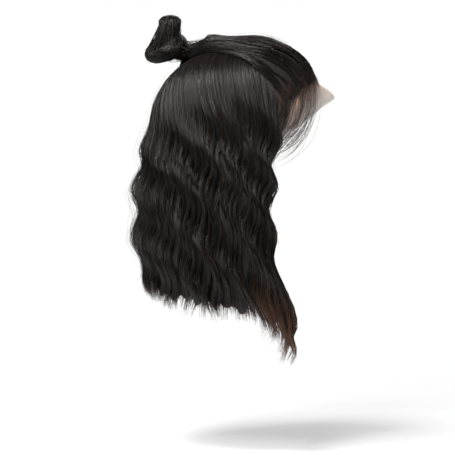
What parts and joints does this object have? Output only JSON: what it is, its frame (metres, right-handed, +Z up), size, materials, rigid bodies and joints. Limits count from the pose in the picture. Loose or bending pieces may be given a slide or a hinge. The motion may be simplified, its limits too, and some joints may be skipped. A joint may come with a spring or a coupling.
{
  "type": "lace front wig",
  "caption": "Lace front wig of long wavy dark hair on a stretch cap, worn half up, with the crown hair gathered into a looped top knot.",
  "frame": {"origin": "inside of the cap at its crown, where the top of the head sits", "axes": "+Z up, the face looks along -Y, the wearer's left is +X"},
  "size_m": [0.229, 0.2554, 0.441],
  "materials": {
    "hair": "near black hair with a soft sheen",
    "cap_net": "dark matt stretch net",
    "lace": "sheer pale lace",
    "elastic": "matt black elastic"
  },
  "bodies": {
    "root": {"cap": "cap_net", "lace_front": "lace", "swept_lock_right_1": "hair", "swept_lock_right_2": "hair", "swept_lock_right_3": "hair", "swept_lock_right_4": "hair", "swept_lock_left_1": "hair", "swept_lock_left_2": "hair", "swept_lock_left_3": "hair", "swept_lock_left_4": "hair", "hair_tie": "elastic", "knot_wrap": "hair", "knot_loop": "hair", "hanging_lock_right_1": "hair", "hanging_lock_right_2": "hair", "hanging_lock_right_3": "hair", "hanging_lock_right_4": "hair", "hanging_lock_right_5": "hair", "hanging_lock_right_6": "hair", "hanging_lock_right_7": "hair", "hanging_lock_right_8": "hair", "hanging_lock_left_1": "hair", "hanging_lock_left_2": "hair", "hanging_lock_left_3": "hair", "hanging_lock_left_4": "hair", "hanging_lock_left_5": "hair", "hanging_lock_left_6": "hair", "hanging_lock_left_7": "hair", "hanging_lock_left_8": "hair"}
  },
  "joints": []
}
